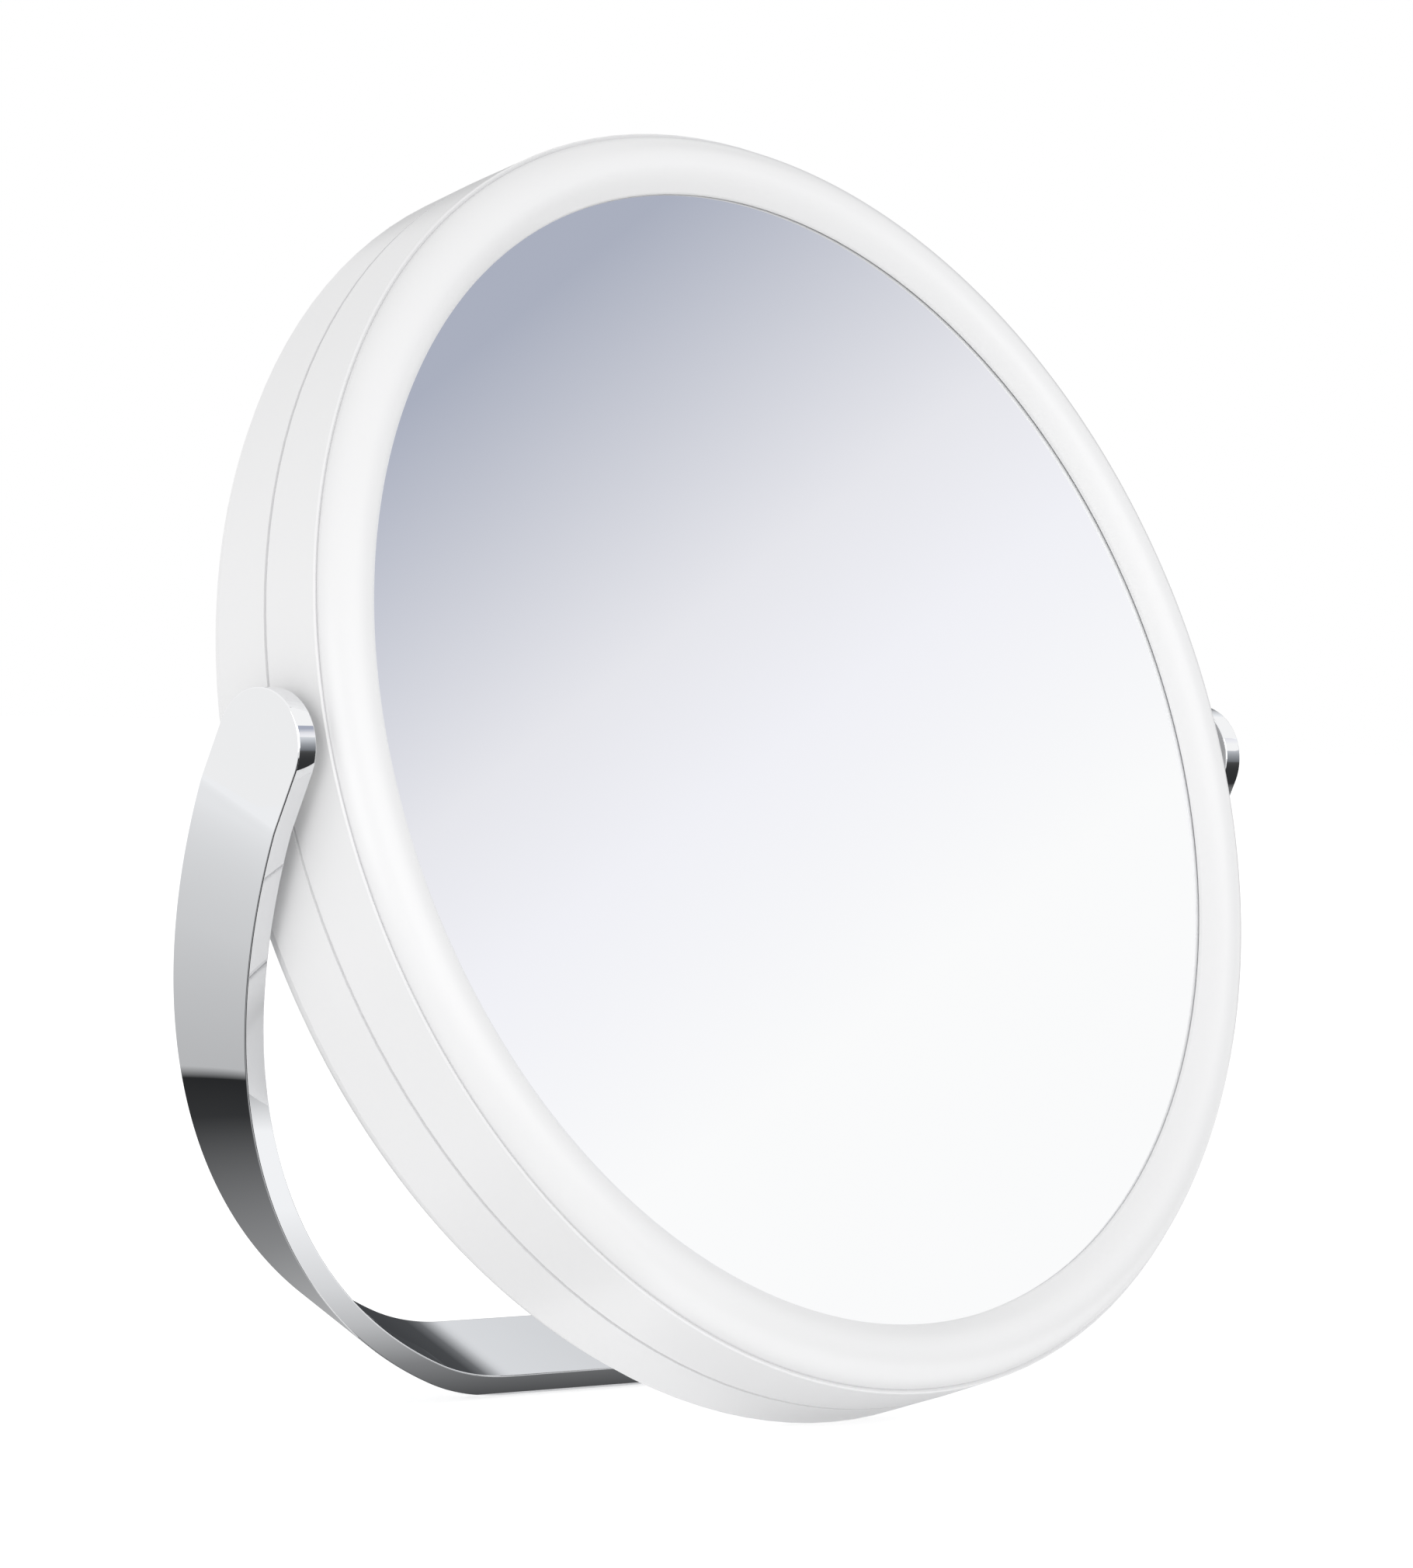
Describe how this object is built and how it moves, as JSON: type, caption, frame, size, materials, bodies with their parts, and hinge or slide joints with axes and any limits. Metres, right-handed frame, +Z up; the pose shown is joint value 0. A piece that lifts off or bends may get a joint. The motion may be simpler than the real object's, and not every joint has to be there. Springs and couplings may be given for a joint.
{
  "type": "table mirror",
  "caption": "Free-standing two-sided round mirror: a white drum head with plain and magnifying glass, turning in a chrome strap that props it up.",
  "frame": {"origin": "on the table, under the middle of the object's bounding box at rest", "axes": "+X along the pivot axis, +Z up, the plain glass faces -Y and slightly up"},
  "size_m": [0.18, 0.0798, 0.1673],
  "materials": {
    "white_abs": "gloss",
    "mirror_glass": "polished",
    "chrome": "polished",
    "foam": "matte",
    "acetal": "satin",
    "zinc_steel": "satin"
  },
  "bodies": {
    "stand": {"stand_strap": "chrome", "left_pivot_stud": "zinc_steel", "left_spacer_washer": "acetal", "left_friction_washer": "acetal", "left_disc_spring": "zinc_steel", "left_lock_nut": "zinc_steel", "right_pivot_stud": "zinc_steel", "right_spacer_washer": "acetal", "right_friction_washer": "acetal", "right_disc_spring": "zinc_steel", "right_lock_nut": "zinc_steel"},
    "head": {"front_shell": "white_abs", "rear_shell": "white_abs", "front_bezel": "white_abs", "rear_bezel": "white_abs", "plain_mirror": "mirror_glass", "magnifying_mirror": "mirror_glass", "front_foam_disc": "foam", "rear_foam_disc": "foam", "shell_screws": "zinc_steel", "left_pivot_bush": "acetal", "right_pivot_bush": "acetal"}
  },
  "joints": [
    {"name": "head_tilt", "type": "hinge", "parent": "stand", "child": "head", "pos_m": [0, -0.00395, 0.08365], "axis": [1, 0, 0], "continuous": true}
  ]
}
